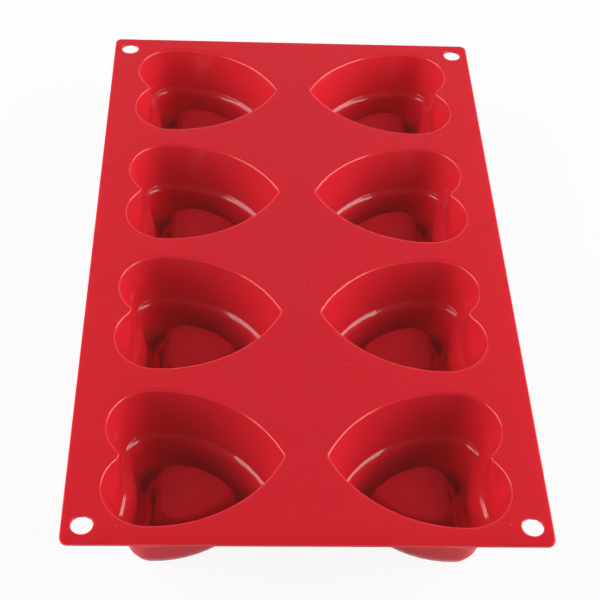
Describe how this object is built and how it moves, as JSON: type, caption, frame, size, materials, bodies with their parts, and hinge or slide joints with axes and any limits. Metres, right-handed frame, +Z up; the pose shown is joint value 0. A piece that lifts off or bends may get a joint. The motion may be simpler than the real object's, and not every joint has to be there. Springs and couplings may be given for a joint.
{
  "type": "silicone baking mould",
  "caption": "Flat flexible baking mould with heart-shaped cups, each with a raised heart core that leaves a hollow in the cake, and a hole near each corner of the sheet.",
  "frame": {"origin": "centre of the plane that the cups' undersides rest on", "axes": "+X across the sheet, along a heart's axis; +Y along the sheet's length; +Z up, out of the cups' mouths"},
  "size_m": [0.175, 0.3, 0.0374],
  "materials": {
    "silicone": "satin"
  },
  "bodies": {
    "root": {"heart_mould": "silicone"}
  },
  "joints": []
}
